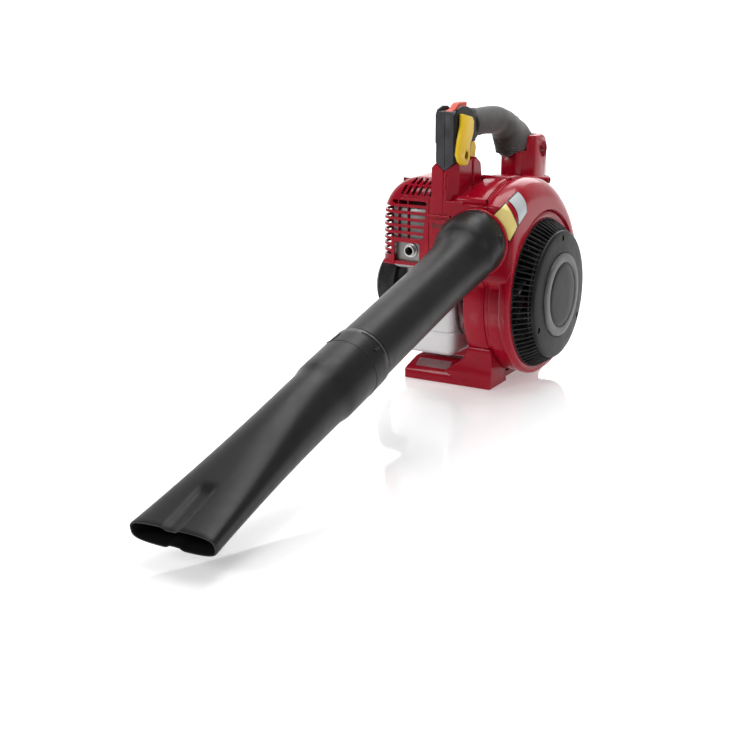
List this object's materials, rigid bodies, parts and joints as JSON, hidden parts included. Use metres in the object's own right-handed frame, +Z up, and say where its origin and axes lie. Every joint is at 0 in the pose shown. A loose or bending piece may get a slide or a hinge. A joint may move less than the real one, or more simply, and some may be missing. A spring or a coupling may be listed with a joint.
{
  "type": "leaf blower",
  "caption": "Hand-held petrol leaf blower with scroll fan housing, loop handle, shrouded engine and a long tube ending in a flat oblong nozzle.",
  "frame": {"origin": "on the floor under the fan axis, in the plane of the blower tube", "axes": "+Z up, -Y towards the nozzle mouth, +X towards the round air intake, engine on the -X side"},
  "size_m": [0.262, 0.9185, 0.3686],
  "materials": {
    "red_plastic": "glossy moulded red",
    "black_plastic": "satin black",
    "grey_plastic": "fine-grained dark grey",
    "foam": "soft foam",
    "yellow_plastic": "satin yellow",
    "orange_plastic": "satin orange red",
    "tank_plastic": "translucent white",
    "steel": "machined",
    "aluminium": "die cast",
    "rubber": "matt",
    "badge": "satin grey"
  },
  "bodies": {
    "housing": {"volute_outer_half": "red_plastic", "volute_inner_half": "red_plastic", "housing_screw_upper": "steel", "housing_screw_lower": "steel", "housing_screw_rear": "steel", "outlet_flange": "red_plastic", "intake_grille": "black_plastic", "intake_cover": "black_plastic", "cover_screw_1": "steel", "cover_screw_2": "steel", "cover_screw_3": "steel", "badge_plate": "badge", "column_left": "red_plastic", "column_right": "red_plastic", "switch_box_left": "grey_plastic", "switch_box_right": "grey_plastic", "lever_plate": "black_plastic", "handle_frame": "grey_plastic", "handle_grip": "foam", "rear_bracket": "red_plastic", "handle_bolt": "steel", "crankcase": "aluminium", "bearing_fan_side": "steel", "bearing_starter_side": "steel", "cylinder_block": "aluminium", "piston": "aluminium", "connecting_rod": "steel", "rocker_cover": "aluminium", "spark_plug": "steel", "plug_cap": "rubber", "ignition_coil": "black_plastic", "ignition_lead": "rubber", "muffler": "aluminium", "exhaust_outlet": "steel", "carburettor": "aluminium", "air_cleaner_case": "black_plastic", "air_filter": "foam", "fuel_tank": "tank_plastic", "fuel_line": "rubber", "breather_hose": "rubber", "engine_shroud": "red_plastic", "starter_case": "black_plastic", "recoil_spring": "steel"},
    "cruise_lever": {"cruise_lever": "yellow_plastic"},
    "trigger": {"throttle_trigger": "yellow_plastic"},
    "stop_switch": {"stop_switch": "orange_plastic"},
    "pipe": {"blower_pipe": "black_plastic"},
    "nozzle": {"nozzle": "black_plastic"},
    "rotor": {"crankshaft": "steel", "flywheel": "aluminium", "impeller": "grey_plastic"},
    "choke": {"choke_lever": "black_plastic"},
    "primer": {"primer_bulb": "rubber"},
    "air_cover": {"air_cleaner_cover": "black_plastic"},
    "fuel_cap": {"fuel_cap": "black_plastic"},
    "oil_cap": {"oil_filler_cap": "black_plastic"},
    "pulley": {"starter_pulley": "grey_plastic"},
    "starter_pull": {"starter_rope": "rubber", "starter_grip": "black_plastic"}
  },
  "joints": [
    {"name": "fan_spin", "type": "hinge", "parent": "housing", "child": "rotor", "pos_m": [0, 0, 0.119], "axis": [1, 0, 0], "continuous": true},
    {"name": "pulley_spin", "type": "hinge", "parent": "housing", "child": "pulley", "pos_m": [-0.163, 0, 0.119], "axis": [1, 0, 0], "range_deg": [0, 1330]},
    {"name": "starter_pull", "type": "slide", "parent": "housing", "child": "starter_pull", "axis": [0, 0, 1], "range_m": [0, 0.6], "stiffness_N_per_m": 4, "springref_m": -0.6, "deforming": ["starter_rope"]},
    {"name": "pipe_turn", "type": "hinge", "parent": "housing", "child": "pipe", "pos_m": [0, -0.106, 0.1995], "axis": [0, -1, 0], "range_deg": [0, 20]},
    {"name": "nozzle_turn", "type": "hinge", "parent": "pipe", "child": "nozzle", "pos_m": [0, -0.39647, 0.12003], "axis": [0, -0.9678, -0.2516], "range_deg": [0, 20]},
    {"name": "stop_switch_slide", "type": "slide", "parent": "housing", "child": "stop_switch", "axis": [0, 1, 0], "range_m": [0, 0.006]},
    {"name": "cruise_lever_turn", "type": "hinge", "parent": "housing", "child": "cruise_lever", "pos_m": [-0.029, -0.087, 0.304], "axis": [-1, 0, 0], "range_deg": [0, 30]},
    {"name": "trigger_squeeze", "type": "hinge", "parent": "housing", "child": "trigger", "pos_m": [-0.047, -0.052, 0.3165], "axis": [1, 0, 0], "range_deg": [0, 8], "stiffness_Nm_per_rad": 0.5, "springref_deg": -11.46},
    {"name": "choke_turn", "type": "hinge", "parent": "housing", "child": "choke", "pos_m": [-0.1255, 0.056, 0.185], "axis": [1, 0, 0], "range_deg": [0, 45]},
    {"name": "primer_press", "type": "slide", "parent": "housing", "child": "primer", "axis": [0, 0, 1], "range_m": [0, 0.0035], "stiffness_N_per_m": 300, "springref_m": -0.0005},
    {"name": "fuel_cap_turn", "type": "hinge", "parent": "housing", "child": "fuel_cap", "pos_m": [-0.152, 0.056, 0.056], "axis": [-1, 0, 0], "range_deg": [0, 360]},
    {"name": "oil_cap_turn", "type": "hinge", "parent": "housing", "child": "oil_cap", "pos_m": [-0.125, 0.04, 0.13], "axis": [0, 1, 0], "range_deg": [0, 360]},
    {"name": "air_cover_swing", "type": "hinge", "parent": "housing", "child": "air_cover", "pos_m": [-0.105, 0.0903, 0.1405], "axis": [-1, 0, 0], "range_deg": [0, 70]}
  ],
  "couplings": [
    {"joint": "pulley_spin", "follows": "starter_pull", "rad_per_m": 38.462}
  ]
}
